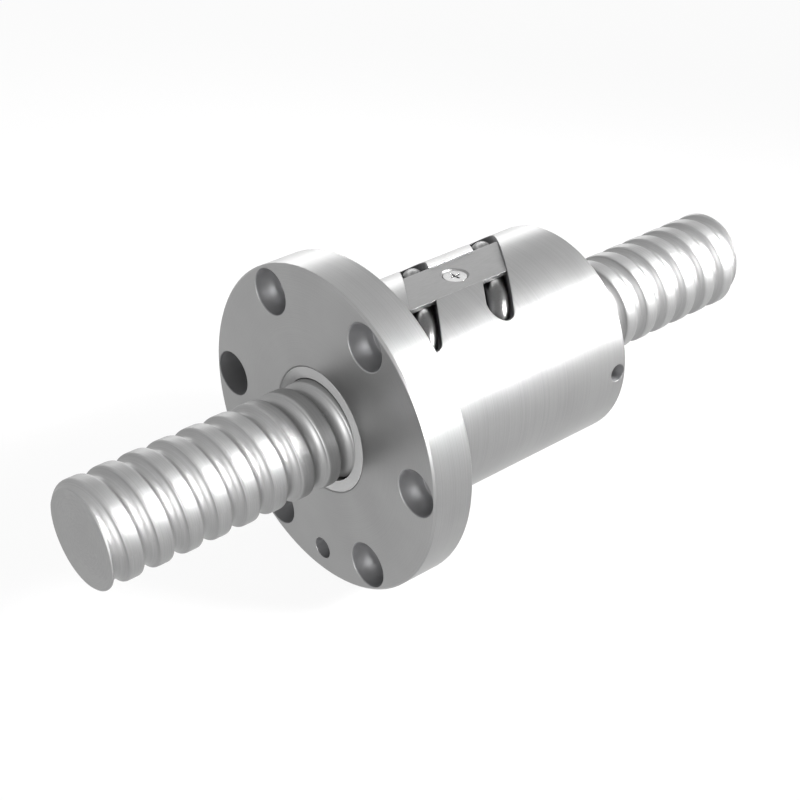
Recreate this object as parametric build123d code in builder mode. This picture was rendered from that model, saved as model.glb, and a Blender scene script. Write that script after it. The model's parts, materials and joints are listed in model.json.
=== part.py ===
"""Flanged ball screw with two return tube circuits, in millimetres.

The origin is the centre of the flange's rear face, which seats on the machine.
X runs along the screw towards the plain end of the nut, and Z is up.
An angle around X is counted from +Y towards +Z.
"""

from build123d import *
from math import atan2, ceil, cos, degrees, floor, hypot, pi, radians, sin, tan
import os

# Screw shaft
lead = 12.0
shaft_diameter = 39.9
shaft_length = 317.0
shaft_front_turns = 11
shaft_end_chamfer = 0.6
turns_per_stretch = 5

# Balls and their track
ball_diameter = 5.953
ball_clearance = 0.32
ball_circle_diameter = 41.66
ball_spacing = 6.12
turns_loaded = 2.5
circuit_count = 2
circuit_spacing = 3 * lead
rear_land = 8.8
pickup_angle = 180.0
tangent_run = 6.0
tangent_drift = 0.5

# Nut body and flange
nut_diameter = 86.6
nut_length = 118.4
flange_diameter = 128.0
flange_thickness = 18.0
bore_clearance = 0.6
flange_chamfer = 0.8
nut_chamfer = 1.0
root_fillet = 0.6

# Flange bolts
bolt_circle = 107.5
bolt_count = 6
bolt_hole_diameter = 11.0
counterbore_diameter = 18.0
counterbore_depth = 11.0
mouth_chamfer = 0.3

# Oil port and its drilled passage
port_diameter = 8.7
port_depth = 12.0
passage_diameter = 3.5
passage_depth_in_flange = 9.0
plug_diameter = 6.0
plug_length = 4.5
plug_recess = 0.8
plug_socket_flats = 3.0
plug_socket_depth = 2.2

# Wipers
wiper_diameter = 49.2
wiper_width = 7.6
wiper_recess = 0.4
wiper_gap = 0.35
wiper_lip_width = 1.6
wiper_lip_depth = 1.2
bead_width = 1.8
bead_height = 0.7
bead_inset = 3.0
seat_clearance = 0.1
seat_chamfer = 0.5

# Backing rings, loose washers between the wipers and their seats
ring_thickness = 1.5
ring_gap = 0.3
ring_play = 0.3

# Set screw of the rear wiper
set_screw_inset = 5.1
set_screw_diameter = 6.0
set_screw_length = 8.0
set_screw_access = 7.2
dog_diameter = 3.6
dog_length = 2.0
dog_engagement = 1.0
dog_chamfer = 0.4
hex_flats = 3.0
hex_depth = 3.0

# Return tubes
tube_wall = 1.0
tube_clearance = 0.1
tube_bend_radius = 9.0
leg_bottom = 0.3

# Pocket, clamp plate and its screw
plate_width = 20.6
plate_thickness = 1.6
plate_top_z = 41.6
plate_clearance = 0.1
plate_corner = 0.5
trench_width = 10.6
trench_overrun = 1.5
clamp_screw_diameter = 5.0
clamp_screw_length = 9.0
clamp_head_diameter = 9.2
clamp_head_rim = 0.3
clamp_head_sink = 0.5
clamp_cone_angle = 90.0
clamp_hole_spare = 1.5
recess_width = 4.8
recess_slot = 1.0
recess_depth = 1.3
thread_clearance = 0.05

# Two places closer than this are the same place
small_length = 0.01

# Sizes that follow from the driving ones
shaft_radius = shaft_diameter / 2
ball_radius = ball_diameter / 2
groove_radius = ball_radius + ball_clearance
track_radius = ball_circle_diameter / 2
bore_radius = shaft_radius + bore_clearance
front_face_x = -flange_thickness
rear_face_x = nut_length - flange_thickness
travel_per_degree = lead / 360
seat_depth = wiper_width + wiper_recess + ring_thickness + 2 * ring_play
plate_floor_z = plate_top_z - plate_thickness
tube_inner_radius = groove_radius
tube_outer_radius = tube_inner_radius + tube_wall
tube_axis_z = plate_floor_z - tube_outer_radius
leg_y = track_radius + tangent_drift
pickup_span_x = turns_loaded * lead
last_pickup_x = rear_face_x - seat_depth - rear_land
first_pickup_x = last_pickup_x - pickup_span_x - (circuit_count - 1) * circuit_spacing
crossing_length = hypot(pickup_span_x, 2 * leg_y)
crossing_angle = degrees(atan2(2 * leg_y, pickup_span_x))
trench_floor_z = tube_axis_z - tube_outer_radius - tube_clearance
trench_half_x = trench_width / 2 / sin(radians(crossing_angle))
first_crossing_x = first_pickup_x + pickup_span_x / 2
crossings_x = [first_crossing_x + i * circuit_spacing for i in range(circuit_count)]
plate_middle_x = sum(crossings_x) / circuit_count
head_top_z = plate_top_z - clamp_head_sink
clamp_cone_slope = tan(radians(clamp_cone_angle / 2))
wiper_radius = wiper_diameter / 2
wiper_bore_radius = shaft_radius + wiper_gap
seat_radius = wiper_radius + seat_clearance
bead_x = front_face_x + wiper_recess + wiper_width - bead_inset
set_screw_x = rear_face_x - set_screw_inset


def section_plane(x):
    """A plane square to the screw at x, with local X along +Y and local Y along +Z."""
    return Plane.YZ.offset(x)


def track_x(angle):
    """Where the middle of the groove crosses the given angle, for the first pickup's turn."""
    return first_pickup_x + (angle - pickup_angle) * travel_per_degree


def rims(piece, x, radius):
    """A piece's circular edges of one radius around axes along X, at one x."""
    circles = piece.edges().filter_by(GeomType.CIRCLE)
    there = circles.filter_by_position(Axis.X, x - small_length, x + small_length)
    return there.filter_by(lambda edge: abs(edge.radius - radius) < small_length)


def tube_route(crossing_x):
    """Corners of a return tube's middle line: up from a pickup, across, and down."""
    half_x = pickup_span_x / 2
    return [
        (crossing_x - half_x, -leg_y, leg_bottom),
        (crossing_x - half_x, -leg_y, tube_axis_z),
        (crossing_x + half_x, leg_y, tube_axis_z),
        (crossing_x + half_x, leg_y, leg_bottom),
    ]


def tube_seat(crossing_x):
    """The space a return tube takes in the nut, with its clearance all round."""
    corners = tube_route(crossing_x)
    with BuildPart() as seat:
        with BuildLine():
            FilletPolyline(*corners, radius=tube_bend_radius)
        with BuildSketch(Plane(origin=corners[0], x_dir=(0, -1, 0), z_dir=(0, 0, 1))):
            Circle(tube_outer_radius + tube_clearance)
        sweep()
    return seat.part


def track_tool(start_x, end_x):
    """A round bar bent along the ball track, in whole turns that reach past both places."""
    top_x = track_x(90)
    first = top_x + floor((start_x - top_x) / lead) * lead
    length = ceil((end_x - first) / lead) * lead
    with BuildPart() as tool:
        with BuildLine():
            helix = Helix(lead, length, track_radius, (first, 0, 0), (1, 0, 0))
        with BuildSketch(Plane(origin=helix @ 0, z_dir=helix % 0)):
            Circle(groove_radius)
        sweep(path=helix, is_frenet=True)
    return tool.part


def circuit_point(s, crossing_x):
    """The ball centre at distance s along a circuit, from the front pickup round and back."""
    turn = hypot(2 * pi * track_radius, lead)
    loaded = turns_loaded * turn
    front_x = crossing_x - pickup_span_x / 2
    rear_x = crossing_x + pickup_span_x / 2
    if s < loaded:
        angle = pickup_angle + 360 * s / turn
        y = track_radius * cos(radians(angle))
        z = track_radius * sin(radians(angle))
        return (front_x + (angle - pickup_angle) * travel_per_degree, y, z)
    s -= loaded
    lean = hypot(tangent_run, tangent_drift)
    upright = tube_axis_z - tube_bend_radius - tangent_run
    bend = pi / 2 * tube_bend_radius
    half = lean + upright + bend + crossing_length / 2 - tube_bend_radius
    rear_side = s < half
    side = 1 if rear_side else -1
    leg_x = rear_x if rear_side else front_x
    along = s if rear_side else 2 * half - s
    if along < lean:
        share = along / lean
        return (leg_x, side * (track_radius + share * tangent_drift), share * tangent_run)
    along -= lean
    if along < upright:
        return (leg_x, side * leg_y, tangent_run + along)
    along -= upright
    if along < bend:
        turned = along / tube_bend_radius
        inward = tube_bend_radius * (1 - cos(turned))
        z = tube_axis_z - tube_bend_radius * (1 - sin(turned))
    else:
        inward = tube_bend_radius + along - bend
        z = tube_axis_z
    back_x = inward * cos(radians(crossing_angle))
    back_y = inward * sin(radians(crossing_angle))
    return (leg_x - side * back_x, side * (leg_y - back_y), z)


def circuit_length():
    loaded = turns_loaded * hypot(2 * pi * track_radius, lead)
    lean = hypot(tangent_run, tangent_drift)
    upright = tube_axis_z - tube_bend_radius - tangent_run
    bend = pi / 2 * tube_bend_radius
    return loaded + 2 * (lean + upright + bend) + crossing_length - 2 * tube_bend_radius


def clamp_cone_radius(z):
    """Radius at height z of the cone that the clamp screw's head seats in."""
    depth = head_top_z - clamp_head_rim - z
    return clamp_head_diameter / 2 - depth * clamp_cone_slope


def crossing_outline(half_width, trim):
    """The pocket's outline: two edges along X, and slanted ends along the outer trench walls."""
    slope = pickup_span_x / (2 * leg_y)
    low_x = crossings_x[0] - trench_half_x + trim
    high_x = crossings_x[-1] + trench_half_x - trim
    return [
        (low_x - half_width * slope, -half_width),
        (high_x - half_width * slope, -half_width),
        (high_x + half_width * slope, half_width),
        (low_x + half_width * slope, half_width),
    ]


# The front end is cut where the groove crosses the top, so every stretch starts alike
shaft_front_x = track_x(90) - shaft_front_turns * lead

# One stretch of threaded shaft, a whole number of turns long, so that copies meet exactly
stretch = turns_per_stretch * lead
shaft_track = track_tool(shaft_front_x - lead, shaft_front_x + stretch + lead)
with BuildPart() as shaft_stretch:
    with BuildSketch(section_plane(shaft_front_x)):
        Circle(shaft_radius)
    extrude(amount=stretch)
    add(shaft_track, mode=Mode.SUBTRACT)

# Screw shaft
with BuildPart() as screw_shaft:
    stretches = ceil(shaft_length / stretch)
    with Locations(*[(i * stretch, 0, 0) for i in range(stretches)]):
        add(shaft_stretch.part)
    split(bisect_by=section_plane(shaft_front_x + shaft_length), keep=Keep.BOTTOM)
    # Both ends are broken by a light cone, so the thread's first edge isn't sharp
    with BuildSketch(Plane.XY):
        with BuildLine():
            root = shaft_radius - shaft_end_chamfer
            rear = shaft_front_x + shaft_length
            Polyline(
                (shaft_front_x, 0),
                (shaft_front_x, root),
                (shaft_front_x + shaft_end_chamfer, shaft_radius),
                (rear - shaft_end_chamfer, shaft_radius),
                (rear, root),
                (rear, 0),
                close=True,
            )
        make_face()
    revolve(axis=Axis.X, mode=Mode.INTERSECT)

# Nut body with its flange
nut_track = track_tool(front_face_x - lead, rear_face_x - seat_depth)
tube_seats = [tube_seat(x) for x in crossings_x]
with BuildPart() as nut_body:
    # Sleeve, bored, drilled for the legs of the tubes and threaded before anything else is cut
    with BuildSketch(section_plane(front_face_x)):
        Circle(nut_diameter / 2)
        Circle(bore_radius, mode=Mode.SUBTRACT)
    extrude(amount=nut_length)
    for seat in tube_seats:
        add(seat, mode=Mode.SUBTRACT)
    add(nut_track, mode=Mode.SUBTRACT)
    chamfer(rims(nut_body, rear_face_x, nut_diameter / 2), nut_chamfer)

    # Flange, with a light chamfer on its rim and a fillet where it meets the sleeve
    with BuildSketch(section_plane(front_face_x)):
        Circle(flange_diameter / 2)
        Circle(nut_diameter / 2, mode=Mode.SUBTRACT)
    extrude(amount=flange_thickness)
    chamfer(rims(nut_body, front_face_x, flange_diameter / 2), flange_chamfer)
    chamfer(rims(nut_body, 0, flange_diameter / 2), flange_chamfer)
    fillet(rims(nut_body, 0, nut_diameter / 2), root_fillet)

    # A seat at each end for a wiper and its backing ring
    with BuildSketch(section_plane(front_face_x)):
        Circle(seat_radius)
    extrude(amount=seat_depth, mode=Mode.SUBTRACT)
    with BuildSketch(section_plane(rear_face_x - seat_depth)):
        Circle(seat_radius)
    extrude(amount=seat_depth, mode=Mode.SUBTRACT)
    chamfer(rims(nut_body, front_face_x, seat_radius), seat_chamfer)
    chamfer(rims(nut_body, rear_face_x, seat_radius), seat_chamfer)
    with BuildSketch(section_plane(bead_x - bead_width / 2 - seat_clearance)):
        Circle(seat_radius + bead_height)
    extrude(amount=bead_width + 2 * seat_clearance, mode=Mode.SUBTRACT)

    # Counterbored bolt holes
    with Locations(Plane(origin=(front_face_x, 0, 0), x_dir=(0, 1, 0), z_dir=(-1, 0, 0))):
        with PolarLocations(bolt_circle / 2, bolt_count):
            CounterBoreHole(
                bolt_hole_diameter / 2,
                counterbore_diameter / 2,
                counterbore_depth,
                flange_thickness,
            )

    chamfer(rims(nut_body, front_face_x, counterbore_diameter / 2), mouth_chamfer)

    # Oil port in the flange face, and the passage that feeds the thread
    with BuildSketch(section_plane(front_face_x)):
        with Locations((0, -bolt_circle / 2)):
            Circle(port_diameter / 2)
    extrude(amount=port_depth, mode=Mode.SUBTRACT)
    passage_x = front_face_x + passage_depth_in_flange
    with BuildSketch(Plane.XY.offset(-bore_radius)):
        with Locations((passage_x, 0)):
            Circle(passage_diameter / 2)
    extrude(amount=-(bolt_circle / 2 - bore_radius), mode=Mode.SUBTRACT)
    with BuildSketch(Plane.XY.offset(-flange_diameter / 2)):
        with Locations((passage_x, 0)):
            Circle(plug_diameter / 2)
    extrude(amount=flange_diameter / 2 - bolt_circle / 2, mode=Mode.SUBTRACT)

    # Return pocket: a shallow inlay for the plate, and a trench for each tube
    with BuildSketch(Plane.XY.offset(plate_floor_z)):
        with BuildLine():
            Polyline(*crossing_outline(plate_width / 2 + plate_clearance, 0), close=True)
        make_face()
    extrude(amount=nut_diameter, mode=Mode.SUBTRACT)
    with BuildSketch(Plane.XY.offset(trench_floor_z)):
        with Locations(*[(x, 0) for x in crossings_x]):
            SlotCenterToCenter(
                crossing_length + 2 * trench_overrun, trench_width, rotation=crossing_angle
            )
    extrude(amount=nut_diameter, mode=Mode.SUBTRACT)

    # Tapped hole for the clamp screw, opened by a cone where its head comes through the plate
    with Locations(Plane.XY.offset(plate_floor_z)):
        with Locations((plate_middle_x, 0)):
            CounterSinkHole(
                clamp_screw_diameter / 2 + thread_clearance,
                clamp_cone_radius(plate_floor_z) + plate_clearance,
                clamp_screw_length + clamp_hole_spare - (head_top_z - plate_floor_z),
                counter_sink_angle=clamp_cone_angle,
            )

    # Radial hole for the rear wiper's set screw, wider where the key goes in
    set_screw_outer = wiper_radius - dog_engagement + dog_length + set_screw_length
    with BuildSketch(Plane.XZ):
        with Locations((set_screw_x, 0)):
            Circle(set_screw_diameter / 2 + thread_clearance)
    extrude(amount=nut_diameter, mode=Mode.SUBTRACT)
    with BuildSketch(Plane.XZ.offset(set_screw_outer)):
        with Locations((set_screw_x, 0)):
            Circle(set_screw_access / 2)
    extrude(amount=nut_diameter, mode=Mode.SUBTRACT)


def backing_ring(seat_x, outward):
    """A loose washer between a wiper and its seat, with play on both sides."""
    middle_x = seat_x + outward * (ring_play + ring_thickness / 2)
    with BuildPart() as ring:
        with BuildSketch(section_plane(middle_x)):
            Circle(wiper_radius - ring_gap)
            Circle(wiper_bore_radius, mode=Mode.SUBTRACT)
        extrude(amount=ring_thickness / 2, both=True)
    return ring


def wiper_ring(inner_face_x, outward):
    """A wiper's half section: a ring with a thin lip at its outer face, around X."""
    outer_face_x = inner_face_x + outward * wiper_width
    lip_x = outer_face_x - outward * wiper_lip_width
    relief = wiper_bore_radius + wiper_lip_depth
    return [
        (inner_face_x, relief),
        (inner_face_x, wiper_radius),
        (outer_face_x, wiper_radius),
        (outer_face_x, wiper_bore_radius),
        (lip_x, wiper_bore_radius),
        (lip_x, relief),
    ]


# Front wiper, which snaps into the flange by a bead round its rim
with BuildPart() as front_wiper:
    with BuildSketch(Plane.XY):
        with BuildLine():
            Polyline(*wiper_ring(front_face_x + wiper_recess + wiper_width, -1), close=True)
        make_face()
        with Locations((bead_x, wiper_radius)):
            Rectangle(bead_width, 2 * bead_height)
    revolve(axis=Axis.X)

# Rear wiper, grooved for the point of its set screw
with BuildPart() as rear_wiper:
    with BuildSketch(Plane.XY):
        with BuildLine():
            Polyline(*wiper_ring(rear_face_x - wiper_recess - wiper_width, 1), close=True)
        make_face()
        with Locations((set_screw_x, wiper_radius)):
            Rectangle(
                dog_diameter + 2 * seat_clearance,
                2 * (dog_engagement + seat_clearance),
                mode=Mode.SUBTRACT,
            )
    revolve(axis=Axis.X)

# Set screw of the rear wiper
with BuildPart() as wiper_set_screw:
    tip_y = wiper_radius - dog_engagement
    with BuildSketch(Plane.XZ.offset(tip_y)):
        with Locations((set_screw_x, 0)):
            Circle(dog_diameter / 2)
    extrude(amount=dog_length)
    with BuildSketch(Plane.XZ.offset(tip_y + dog_length)):
        with Locations((set_screw_x, 0)):
            Circle(set_screw_diameter / 2)
    extrude(amount=set_screw_length)
    chamfer(wiper_set_screw.faces().sort_by(Axis.Y)[0].edges(), dog_chamfer)
    with BuildSketch(Plane.XZ.offset(set_screw_outer)):
        with Locations((set_screw_x, 0)):
            RegularPolygon(hex_flats / 2, 6, major_radius=False)
    extrude(amount=-hex_depth, mode=Mode.SUBTRACT)

# Plug that closes the drilled end of the oil passage
with BuildPart() as oil_plug:
    plug_face_z = -(flange_diameter / 2 - plug_recess)
    with BuildSketch(Plane.XY.offset(plug_face_z)):
        with Locations((passage_x, 0)):
            Circle(plug_diameter / 2 - thread_clearance)
    extrude(amount=plug_length)
    with BuildSketch(Plane.XY.offset(plug_face_z)):
        with Locations((passage_x, 0)):
            RegularPolygon(plug_socket_flats / 2, 6, major_radius=False)
    extrude(amount=plug_socket_depth, mode=Mode.SUBTRACT)

# Plate that holds both tubes down, countersunk for its screw
with BuildPart() as clamp_plate:
    with BuildSketch(Plane.XY.offset(plate_floor_z)):
        with BuildLine():
            Polyline(*crossing_outline(plate_width / 2, plate_clearance), close=True)
        make_face()
    extrude(amount=plate_thickness)
    fillet(clamp_plate.edges().filter_by(Axis.Z), plate_corner)
    with BuildSketch(Plane.XY.offset(plate_floor_z)):
        with Locations((plate_middle_x, 0)):
            Circle(clamp_cone_radius(plate_floor_z) + thread_clearance)
    with BuildSketch(Plane.XY.offset(plate_top_z)):
        with Locations((plate_middle_x, 0)):
            Circle(clamp_cone_radius(plate_top_z) + thread_clearance)
    loft(mode=Mode.SUBTRACT)

# Clamp screw with a countersunk head and a cross recess
with BuildPart() as clamp_screw:
    with BuildSketch(Plane.XZ):
        with BuildLine():
            shank = clamp_screw_diameter / 2
            head = clamp_head_diameter / 2
            rim_z = head_top_z - clamp_head_rim
            Polyline(
                (plate_middle_x, head_top_z),
                (plate_middle_x + head, head_top_z),
                (plate_middle_x + head, rim_z),
                (plate_middle_x + shank, rim_z - (head - shank) / clamp_cone_slope),
                (plate_middle_x + shank, head_top_z - clamp_screw_length),
                (plate_middle_x, head_top_z - clamp_screw_length),
                close=True,
            )
        make_face()
    revolve(axis=Axis((plate_middle_x, 0, 0), (0, 0, 1)))
    with BuildSketch(Plane.XY.offset(head_top_z)):
        with Locations((plate_middle_x, 0)):
            Rectangle(recess_width, recess_slot)
            Rectangle(recess_slot, recess_width)
    extrude(amount=-recess_depth, mode=Mode.SUBTRACT)


def return_tube(crossing_x):
    """A tube from the front pickup, up and over the nut, and down to the rear pickup."""
    corners = tube_route(crossing_x)
    with BuildPart() as tube:
        with BuildLine():
            FilletPolyline(*corners, radius=tube_bend_radius)
        with BuildSketch(Plane(origin=corners[0], x_dir=(0, -1, 0), z_dir=(0, 0, 1))):
            Circle(tube_outer_radius)
            Circle(tube_inner_radius, mode=Mode.SUBTRACT)
        sweep()
        # The ends are scooped clear of the screw, which leaves a tongue to lift the balls
        with BuildSketch(section_plane(front_face_x)):
            Circle(bore_radius + seat_clearance)
        extrude(amount=nut_length, mode=Mode.SUBTRACT)
    return tube


def ball_train(crossing_x):
    """Every ball of one circuit, loaded turns and return tube alike."""
    count = floor(circuit_length() / ball_spacing)
    step = circuit_length() / count
    with BuildPart() as balls:
        with Locations(*[circuit_point((i + 0.5) * step, crossing_x) for i in range(count)]):
            Sphere(ball_radius)
    return balls


front_backing_ring = backing_ring(front_face_x + seat_depth, -1)
rear_backing_ring = backing_ring(rear_face_x - seat_depth, 1)
front_return_tube = return_tube(crossings_x[0])
rear_return_tube = return_tube(crossings_x[-1])
front_ball_train = ball_train(crossings_x[0])
rear_ball_train = ball_train(crossings_x[-1])

pieces = {
    "screw_shaft": screw_shaft,
    "nut_body": nut_body,
    "front_wiper": front_wiper,
    "rear_wiper": rear_wiper,
    "front_backing_ring": front_backing_ring,
    "rear_backing_ring": rear_backing_ring,
    "wiper_set_screw": wiper_set_screw,
    "oil_plug": oil_plug,
    "clamp_plate": clamp_plate,
    "clamp_screw": clamp_screw,
    "front_return_tube": front_return_tube,
    "rear_return_tube": rear_return_tube,
    "front_ball_train": front_ball_train,
    "rear_ball_train": rear_ball_train,
}

os.makedirs("parts", exist_ok=True)
for name, piece in pieces.items():
    piece.part.label = name
    export_step(piece.part, f"parts/{name}.step")
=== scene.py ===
"""Looks of a flanged ball screw: ground steel, a clamped pair of return tubes and studio light.

Lengths are in metres, X runs along the screw and Z is up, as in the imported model.
"""

import json
import math

import bpy
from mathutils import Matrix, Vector


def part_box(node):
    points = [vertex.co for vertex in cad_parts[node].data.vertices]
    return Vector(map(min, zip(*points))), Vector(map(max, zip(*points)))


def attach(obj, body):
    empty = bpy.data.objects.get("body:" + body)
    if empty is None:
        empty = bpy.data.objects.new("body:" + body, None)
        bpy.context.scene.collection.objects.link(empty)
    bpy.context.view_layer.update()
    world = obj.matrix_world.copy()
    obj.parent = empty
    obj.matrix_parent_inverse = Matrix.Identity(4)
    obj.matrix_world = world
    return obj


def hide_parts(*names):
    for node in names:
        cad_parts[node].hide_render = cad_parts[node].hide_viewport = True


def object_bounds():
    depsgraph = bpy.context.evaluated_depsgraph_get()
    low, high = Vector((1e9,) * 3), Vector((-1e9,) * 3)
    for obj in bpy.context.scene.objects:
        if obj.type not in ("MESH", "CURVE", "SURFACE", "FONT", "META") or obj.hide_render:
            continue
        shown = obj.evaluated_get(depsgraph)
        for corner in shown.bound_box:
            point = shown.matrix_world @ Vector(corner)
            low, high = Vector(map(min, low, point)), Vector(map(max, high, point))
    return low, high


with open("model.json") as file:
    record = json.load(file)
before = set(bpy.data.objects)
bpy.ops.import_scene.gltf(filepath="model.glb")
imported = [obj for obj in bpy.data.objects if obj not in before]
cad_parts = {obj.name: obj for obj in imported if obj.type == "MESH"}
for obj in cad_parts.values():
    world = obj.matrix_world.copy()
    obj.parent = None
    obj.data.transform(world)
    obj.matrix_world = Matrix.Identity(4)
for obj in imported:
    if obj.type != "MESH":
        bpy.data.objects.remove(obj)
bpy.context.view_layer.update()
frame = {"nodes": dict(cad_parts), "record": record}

# Camera, as the photograph was taken
CAMERA_PLACE = (-0.33503, -0.41427, 0.33433)
CAMERA_DIRECTION = (0.5548, 0.6453, -0.5251)
CAMERA_LENS = 75.745
SENSOR_WIDTH = 36.0
NEAREST_SEEN = 0.01
FARTHEST_SEEN = 20.0

# Thread of the screw
LEAD = 0.012
GROOVE_RADIUS = 0.0032965
TRACK_RADIUS = 0.02083
TRACK_X_AT_TOP = 0.0125
CREST_ROUNDING = 0.001
CREST_SEGMENTS = 5
END_CHAMFER = 0.0005
STEPS_PER_TURN = 80
GROOVE_STEPS = 16
MERGE_DISTANCE = 0.00001
CUT_TOLERANCE = 0.000001
SHARP_ANGLE = math.radians(35)

# Tool marks: spacing of the lines, and the patches where they are stronger
GROUND_PITCH = 0.0003
DRAWN_TUBE_PITCH = 0.0004
BALL_PITCH = 0.002
THREAD_PITCH = 0.00045
PATCH_SCALE = 60.0
PATCH_LEAST = 0.7
PATCH_GAIN = 0.6

# Surface of the metals: shade comes from the lines and from soft clouds, gloss from the lines
LINE_SHARE = 0.65
CLOUD_SCALE = 45.0
CONTRAST = 0.08
SHADE_SPAN = {"start": 0.3, "end": 0.7}
GLOSS_SPAN = {"start": 0.25, "end": 0.75}
GLOSS_BELOW = 0.015
GLOSS_ABOVE = 0.02
LINE_HEIGHT = 0.0002
LINE_STRENGTH = 0.02
EDGE_SAMPLES = 6
SOFT_EDGE = 0.0003
SMALL_EDGE = 0.0002

# Surface of the plastic
GRAIN_SCALE = 2500.0
GRAIN_HEIGHT = 0.0001
GRAIN_STRENGTH = 0.15
PLASTIC_CLOUD_SCALE = 120.0
PLASTIC_DARKEST = 0.92
PLASTIC_DULLING = 0.1

# Drilled and milled places, which are duller than the ground faces and also get painted shade:
# a darker colour painted in them for the shade that falls there. A skin is how far under a face
# they start
BOLT_COUNT = 6
BOLT_CIRCLE_RADIUS = 0.05375
COUNTERBORE_RADIUS = 0.0094
PORT_RADIUS = 0.0045
FLANGE_FRONT_X = -0.018
NUT_RADIUS = 0.0433
NUT_END_X = 0.1004
FACE_SKIN = 0.0001
SEAT_SKIN = 0.0002
END_SKIN = 0.0012
SCREW_HEAD_SKIN = 0.0002
# Painted shade: the colour painted in the drilled and milled places, darker than the ground faces
RECESS_PAINTED_SHADE = (0.2, 0.2, 0.205, 1.0)
RECESS_DULLNESS = 0.1
RECESS_METALLIC = 0.35

# Floor, just under the flange, and the white surround
FLOOR_GAP = 0.001
FLOOR_SIZE = 6.0
FLOOR_MIDDLE_X = 0.04
FLOOR_GREY = 0.8
FLOOR_WHITENESS = 0.9
SOFT_LIGHT = 0.6

# What a lamp faces, and how wide it shines, unless it says otherwise
BODY_MIDDLE = (0.03, 0, 0)
WIDE_OPEN = 180


class Socket:
    """A shader socket that can be used in a Python expression."""

    def __init__(self, maker, socket):
        self.maker = maker
        self.socket = socket

    def __add__(self, other):
        return self.maker.math("ADD", self, other)

    def __radd__(self, other):
        return self.maker.math("ADD", other, self)

    def __sub__(self, other):
        return self.maker.math("SUBTRACT", self, other)

    def __rsub__(self, other):
        return self.maker.math("SUBTRACT", other, self)

    def __mul__(self, other):
        return self.maker.math("MULTIPLY", self, other)

    def __rmul__(self, other):
        return self.maker.math("MULTIPLY", other, self)

    def __truediv__(self, other):
        return self.maker.math("DIVIDE", self, other)

    def __pow__(self, other):
        return self.maker.math("POWER", self, other)


class Shader:
    """A material's or world's node tree, with its nodes made by plain calls."""

    def __init__(self, owner):
        owner.use_nodes = True
        self.tree = owner.node_tree
        self.tree.nodes.clear()

    def node(self, kind, settings=None, out=0, **inputs):
        """Adds a node. Settings come first, then socket values or links by name or number."""
        made = self.tree.nodes.new(kind)
        for name, value in (settings or {}).items():
            setattr(made, name, value)
        for name, value in inputs.items():
            key = int(name[1:]) if name[1:].isdigit() else name.replace("_", " ")
            target = made.inputs[key]
            if isinstance(value, Socket):
                self.tree.links.new(value.socket, target)
            else:
                target.default_value = value
        return Socket(self, made.outputs[out]) if made.outputs else None

    def math(self, operation, *values):
        inputs = {f"i{n}": value for n, value in enumerate(values)}
        return self.node("ShaderNodeMath", {"operation": operation}, **inputs)

    def vector(self, x, y, z):
        return self.node("ShaderNodeCombineXYZ", i0=x, i1=y, i2=z)

    def split(self, vector):
        made = self.tree.nodes.new("ShaderNodeSeparateXYZ")
        self.tree.links.new(vector.socket, made.inputs[0])
        return [Socket(self, output) for output in made.outputs]

    def object_place(self):
        return self.node("ShaderNodeTexCoord", out="Object")

    def noise(self, vector, scale=1.0, detail=2.0):
        return self.node("ShaderNodeTexNoise", Vector=vector, Scale=scale, Detail=detail)

    def ramp(self, factor, low, high, start=0.0, end=1.0):
        """Maps a factor between start and end to a value between low and high, smoothly."""
        settings = {"interpolation_type": "SMOOTHSTEP"}
        return self.node(
            "ShaderNodeMapRange", settings, Value=factor, i1=start, i2=end, i3=low, i4=high
        )

    def blend(self, factor, low, high):
        """A colour between low and high."""
        settings = {"data_type": "RGBA"}
        return self.node("ShaderNodeMix", settings, out=2, i0=factor, i6=low, i7=high)


def grey(value):
    return (value, value, value, 1.0)


def scaled(colour, factor):
    return tuple(part * factor for part in colour[:3]) + (1.0,)


def radius_of(y, z):
    return (y * y + z * z) ** 0.5


def ground_marks(pitch):
    """Fine lines left by turning and grinding: rings on a cylinder, circles on a face."""

    def draw(shader, x, y, z):
        around = shader.vector(x / pitch, radius_of(y, z) / pitch, 0.0)
        broken = shader.vector(x * PATCH_SCALE, y * PATCH_SCALE, z * PATCH_SCALE)
        lines = shader.noise(around, detail=3.0)
        patches = shader.noise(broken, detail=1.0)
        return lines * (PATCH_LEAST + PATCH_GAIN * patches)

    return draw


def drawn_marks(pitch, stretch):
    """Lines that run along X, as on drawn or brushed stock."""

    def draw(shader, x, y, z):
        along = shader.vector(x / stretch, y / pitch, z / pitch)
        return shader.noise(along, detail=3.0)

    return draw


def thread_marks(shader, x, y, z):
    """Grinding lines that follow the thread, so they wind round the shaft with its lead."""
    turn = shader.math("ARCTAN2", z, y) / (2 * math.pi)
    wound = x - turn * LEAD
    return shader.noise(shader.vector(wound / THREAD_PITCH, radius_of(y, z) / THREAD_PITCH, 0.0))


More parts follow.
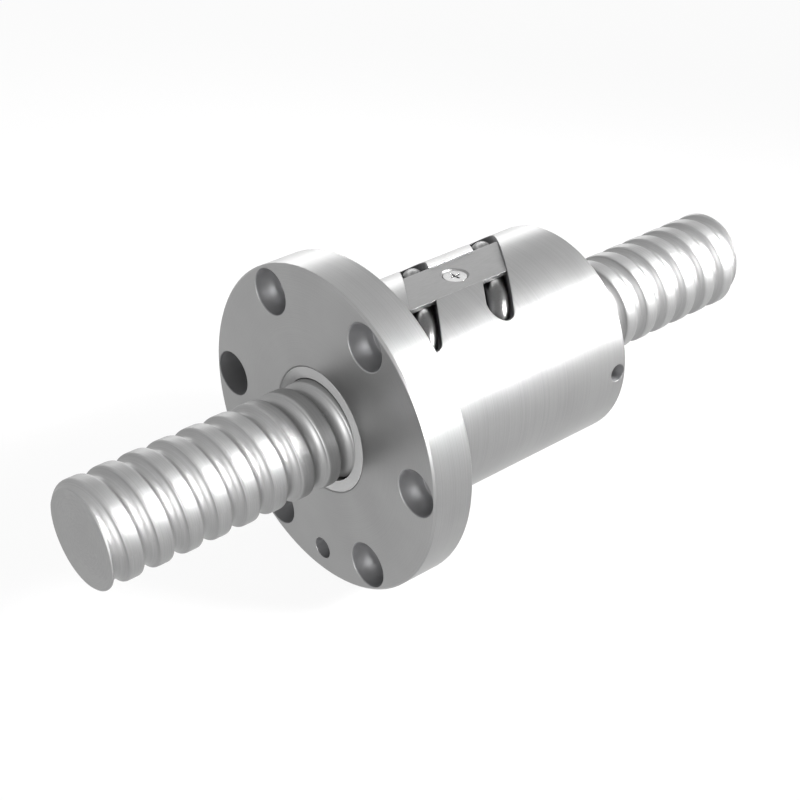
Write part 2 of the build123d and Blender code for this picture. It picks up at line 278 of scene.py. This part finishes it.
def nut_recesses(shader, x, y, z):
    """One where the nut's bolt holes, port and pockets are duller and get painted shade, and
    nothing outside them.
    """
    spacing = 2 * math.pi / BOLT_COUNT
    angle = shader.math("ARCTAN2", z, y)
    nearest = spacing * shader.math("ROUND", angle / spacing)
    bolt_y = BOLT_CIRCLE_RADIUS * shader.math("COSINE", nearest)
    bolt_z = BOLT_CIRCLE_RADIUS * shader.math("SINE", nearest)
    from_bolt = radius_of(y - bolt_y, z - bolt_z)
    from_port = radius_of(y, z + BOLT_CIRCLE_RADIUS)
    in_bolt_hole = shader.math("LESS_THAN", from_bolt, COUNTERBORE_RADIUS)
    in_port = shader.math("LESS_THAN", from_port, PORT_RADIUS)
    before_seat = shader.math("LESS_THAN", x, -SEAT_SKIN)
    under_face = shader.math("GREATER_THAN", x, FLANGE_FRONT_X + FACE_SKIN)
    in_flange = shader.math("MAXIMUM", in_bolt_hole, in_port) * before_seat * under_face

    behind_seat = shader.math("GREATER_THAN", x, SEAT_SKIN)
    under_skin = shader.math("LESS_THAN", radius_of(y, z), NUT_RADIUS - SEAT_SKIN)
    before_end = shader.math("LESS_THAN", x, NUT_END_X - END_SKIN)
    return shader.math("MAXIMUM", in_flange, behind_seat * under_skin * before_end)


def cross_recess(shader, x, y, z):
    """One in the cross cut in the clamp screw's head, which is duller and gets painted shade."""
    head_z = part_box("clamp_screw")[1].z
    return shader.math("LESS_THAN", z, head_z - SCREW_HEAD_SKIN)


finishes = {}


def metal(name, colour, roughness, marks, edge=SOFT_EDGE, recess=None):
    """A steel finish. Marks is the function that draws its tool marks, and edge its rounding.

    Recess finds the drilled and milled places, which are duller than the ground ones. They also
    get painted shade: a darker colour that stands in for the shade falling in them.
    """
    finishes[name] = bpy.data.materials.new(name)
    shader = Shader(finishes[name])
    place = shader.object_place()
    x, y, z = shader.split(place)
    lines = marks(shader, x, y, z)
    cloud = shader.noise(place, scale=CLOUD_SCALE, detail=3.0)
    tone = LINE_SHARE * lines + (1 - LINE_SHARE) * cloud
    dark = scaled(colour, 1 - CONTRAST)
    light = scaled(colour, 1 + CONTRAST)
    shade = shader.blend(shader.ramp(tone, 0.0, 1.0, **SHADE_SPAN), dark, light)
    gloss = shader.ramp(lines, roughness - GLOSS_BELOW, roughness + GLOSS_ABOVE, **GLOSS_SPAN)
    metallic = 1.0
    if recess:
        inside = recess(shader, x, y, z)
        # Painted shade: the recesses are painted darker
        shade = shader.blend(inside, shade, RECESS_PAINTED_SHADE)
        gloss = gloss + RECESS_DULLNESS * inside
        metallic = 1.0 - (1.0 - RECESS_METALLIC) * inside
    rounded = shader.node("ShaderNodeBevel", {"samples": EDGE_SAMPLES}, Radius=edge)
    relief = shader.node(
        "ShaderNodeBump",
        Strength=LINE_STRENGTH,
        Distance=LINE_HEIGHT,
        Height=lines,
        Normal=rounded,
    )
    surface = shader.node(
        "ShaderNodeBsdfPrincipled",
        Base_Color=shade,
        Metallic=metallic,
        Roughness=gloss,
        Normal=relief,
    )
    shader.node("ShaderNodeOutputMaterial", Surface=surface)


def plastic(name, colour, roughness):
    """Moulded plastic with a fine grain."""
    finishes[name] = bpy.data.materials.new(name)
    shader = Shader(finishes[name])
    place = shader.object_place()
    grain = shader.noise(place, scale=GRAIN_SCALE)
    cloud = shader.noise(place, scale=PLASTIC_CLOUD_SCALE)
    relief = shader.node(
        "ShaderNodeBump", Strength=GRAIN_STRENGTH, Distance=GRAIN_HEIGHT, Height=grain
    )
    surface = shader.node(
        "ShaderNodeBsdfPrincipled",
        Base_Color=shader.blend(cloud, scaled(colour, PLASTIC_DARKEST), colour),
        Roughness=shader.ramp(cloud, roughness, roughness + PLASTIC_DULLING),
        Normal=relief,
    )
    shader.node("ShaderNodeOutputMaterial", Surface=surface)


def make_finishes():
    """A finish for each material slot of the record."""
    ground = ground_marks(GROUND_PITCH)
    brushed = drawn_marks(GROUND_PITCH, stretch=0.004)
    drawn = drawn_marks(DRAWN_TUBE_PITCH, stretch=0.003)
    metal("ground_shaft", grey(0.31), 0.5, thread_marks, edge=0.0004)
    metal("ground_nut", grey(0.31), 0.38, ground, edge=0.0005, recess=nut_recesses)
    metal("plain_steel", grey(0.5), 0.35, ground)
    metal("black_screw", grey(0.06), 0.35, ground, edge=SMALL_EDGE)
    metal("clamp_steel", grey(0.24), 0.42, brushed, edge=SMALL_EDGE)
    metal("bright_screw", grey(0.6), 0.25, ground, edge=SMALL_EDGE, recess=cross_recess)
    metal("tube_steel", grey(0.12), 0.34, drawn)
    metal("ball_steel", grey(0.8), 0.12, ground_marks(BALL_PITCH))
    plastic("wiper_plastic", grey(0.32), 0.45)


def finish_cad_nodes():
    """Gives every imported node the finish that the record's slot names."""
    slots = {row["node"]: row["material_slot"] for row in frame["record"]["subparts"]}
    for name, node in frame["nodes"].items():
        node.data.materials.clear()
        node.data.materials.append(finishes[slots[name]])


def deselect_everything():
    if bpy.context.object:
        bpy.ops.object.mode_set(mode="OBJECT")
    bpy.ops.object.select_all(action="DESELECT")


def near(one, other):
    return abs(one - other) < MERGE_DISTANCE


def select_where(piece, test, kind="vertices"):
    """Selects, in edit mode, the vertices or faces whose place passes the test."""
    bpy.ops.mesh.select_all(action="DESELECT")
    bpy.ops.mesh.select_mode(type="VERT" if kind == "vertices" else "FACE")
    bpy.ops.object.mode_set(mode="OBJECT")
    for item in getattr(piece.data, kind):
        item.select = test(item.co if kind == "vertices" else item.center)
    bpy.ops.object.mode_set(mode="EDIT")


def extrude_along_x(distance):
    bpy.ops.mesh.extrude_region_move(TRANSFORM_OT_translate={"value": (distance, 0, 0)})


def draw_thread_profile(first_x, crest):
    """One pitch of the thread above the axis: a groove with half a crest on each side."""
    depth = TRACK_RADIUS - crest
    half_opening = math.sqrt(GROOVE_RADIUS**2 - depth**2)
    half_crest = LEAD / 2 - half_opening

    # A plane merged to a point at the groove's edge, and spun to its other edge
    deselect_everything()
    corner = (first_x - half_opening, 0, crest)
    bpy.ops.mesh.primitive_plane_add(size=LEAD / 4, location=corner)
    profile = bpy.context.object
    bpy.ops.object.transform_apply(location=True, rotation=True, scale=True)
    bpy.ops.object.mode_set(mode="EDIT")
    bpy.ops.mesh.select_mode(type="VERT")
    bpy.ops.mesh.select_all(action="SELECT")
    bpy.ops.mesh.merge(type="CENTER")
    bpy.ops.mesh.spin(
        steps=GROOVE_STEPS,
        angle=2 * math.acos(depth / GROOVE_RADIUS),
        center=(first_x, 0, TRACK_RADIUS),
        axis=(0, 1, 0),
    )

    # The crests, and their edges rounded
    for side in (-1, 1):
        corner_x = first_x + side * half_opening
        select_where(profile, lambda co: near(co.x, corner_x) and near(co.z, crest))
        extrude_along_x(side * half_crest)
    select_where(
        profile,
        lambda co: near(co.z, crest) and near(abs(co.x - first_x), half_opening),
    )
    bpy.ops.mesh.bevel(offset=CREST_ROUNDING, segments=CREST_SEGMENTS, affect="VERTICES")
    bpy.ops.object.mode_set(mode="OBJECT")
    return profile


def wind_thread(shaft, turns):
    """Winds the profile round the axis, one lead further along for each turn."""
    screw = shaft.modifiers.new("thread", "SCREW")
    screw.axis = "X"
    screw.screw_offset = LEAD
    screw.iterations = turns
    screw.steps = screw.render_steps = STEPS_PER_TURN
    bpy.ops.object.modifier_apply(modifier=screw.name)
    bpy.ops.object.mode_set(mode="EDIT")
    bpy.ops.mesh.select_all(action="SELECT")
    bpy.ops.mesh.remove_doubles(threshold=MERGE_DISTANCE)
    bpy.ops.mesh.normals_make_consistent(inside=False)


def close_end(shaft, x, outward, radius):
    """Cuts the thread square just short of x, closes it and chamfers the end face."""
    cut_x = x - outward * END_CHAMFER
    bpy.ops.mesh.select_all(action="SELECT")
    bpy.ops.mesh.bisect(
        plane_co=(cut_x, 0, 0),
        plane_no=(outward, 0, 0),
        use_fill=True,
        clear_outer=True,
        threshold=CUT_TOLERANCE,
    )
    select_where(shaft, lambda centre: near(centre.x, cut_x), "polygons")
    extrude_along_x(outward * END_CHAMFER)
    share = (radius - END_CHAMFER) / radius
    bpy.ops.transform.resize(value=(1, share, share), center_override=(x, 0, 0))


def make_screw_shaft():
    """The threaded shaft, its crests rounded as grinding leaves them."""
    low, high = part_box("screw_shaft")
    crest = high.z
    turns_before = math.ceil((TRACK_X_AT_TOP - low.x) / LEAD) + 1
    turns_after = math.ceil((high.x - TRACK_X_AT_TOP) / LEAD) + 1
    shaft = draw_thread_profile(TRACK_X_AT_TOP - turns_before * LEAD, crest)
    shaft.name = shaft.data.name = "screw_shaft_ground"
    wind_thread(shaft, turns_before + turns_after)
    close_end(shaft, low.x, -1, crest)
    close_end(shaft, high.x, 1, crest)
    bpy.ops.mesh.select_all(action="SELECT")
    bpy.ops.mesh.normals_make_consistent(inside=False)
    bpy.ops.object.mode_set(mode="OBJECT")
    bpy.ops.object.shade_smooth_by_angle(angle=SHARP_ANGLE)
    shaft.data.materials.append(finishes["ground_shaft"])
    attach(shaft, "screw")
    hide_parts("screw_shaft")


def rays_shown_white(shader):
    """One for rays from the camera, mirrored ones and those through glass, none for the rest."""
    rays = ("Is Camera Ray", "Is Glossy Ray", "Is Transmission Ray")
    camera, mirrored, through = (shader.node("ShaderNodeLightPath", out=ray) for ray in rays)
    return shader.math("MINIMUM", camera + mirrored + through, 1.0)


def make_floor():
    """A pale floor that shows the shadow faintly."""
    floor_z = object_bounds()[0].z - FLOOR_GAP
    deselect_everything()
    bpy.ops.mesh.primitive_plane_add(size=FLOOR_SIZE, location=(FLOOR_MIDDLE_X, 0, floor_z))
    floor = bpy.context.object
    floor.name = "floor"
    material = bpy.data.materials.new("floor")
    shader = Shader(material)
    matte = shader.node("ShaderNodeBsdfDiffuse", Color=grey(FLOOR_GREY))
    white = shader.node("ShaderNodeEmission", Color=grey(1.0), Strength=1.0)
    whiteness = rays_shown_white(shader) * FLOOR_WHITENESS
    both = shader.node("ShaderNodeMixShader", i0=whiteness, i1=matte, i2=white)
    shader.node("ShaderNodeOutputMaterial", Surface=both)
    floor.data.materials.append(material)


def make_world():
    """A white surround for the camera, with softer light on the object."""
    world = bpy.data.worlds.new("studio")
    bpy.context.scene.world = world
    shader = Shader(world)
    white = rays_shown_white(shader)
    strength = white + (1.0 - white) * SOFT_LIGHT
    background = shader.node("ShaderNodeBackground", Color=grey(1.0), Strength=strength)
    shader.node("ShaderNodeOutputWorld", Surface=background)


def place_in_scene(name, data, place, direction):
    """Puts a lamp or the camera into the scene, facing along a direction."""
    item = bpy.data.objects.new(name, data)
    bpy.context.scene.collection.objects.link(item)
    item.location = place
    item.rotation_mode = "QUATERNION"
    item.rotation_quaternion = direction.to_track_quat("-Z", "Y")
    return item


def make_lamp(name, place, size, power, aim=BODY_MIDDLE, spread=WIDE_OPEN):
    """A soft rectangular lamp that faces a point. Spread is its cone, in degrees."""
    data = bpy.data.lights.new(name, "AREA")
    data.shape = "RECTANGLE"
    data.size, data.size_y = size
    data.energy = power
    data.spread = math.radians(spread)
    place_in_scene(name, data, place, Vector(aim) - Vector(place))


def make_lamps():
    """Lamps on the crests and the nut, its end, the flange's rim, and the far walls of holes."""
    make_lamp("key_lamp", (0.77, -0.95, 0.66), (0.6, 0.3), power=1.3, aim=(0.15, 0, 0), spread=14)
    make_lamp("end_lamp", (0.46, -0.3, 0.2), (0.3, 0.3), power=0.5, aim=(0.17, 0, 0), spread=36)
    make_lamp("rear_lamp", (0.85, 1.3, 0.3), (0.9, 0.25), power=4.5)
    make_lamp("side_lamp", (-0.98, -0.81, 0.2), (0.6, 0.4), power=14.0)


def make_camera():
    data = bpy.data.cameras.new("camera")
    data.lens = CAMERA_LENS
    data.sensor_width = SENSOR_WIDTH
    data.clip_start = NEAREST_SEEN
    data.clip_end = FARTHEST_SEEN
    camera = place_in_scene("camera", data, CAMERA_PLACE, Vector(CAMERA_DIRECTION))
    bpy.context.scene.camera = camera


make_finishes()
finish_cad_nodes()
make_screw_shaft()
make_floor()
make_world()
make_lamps()
make_camera()
bpy.context.scene.view_settings.view_transform = "Standard"
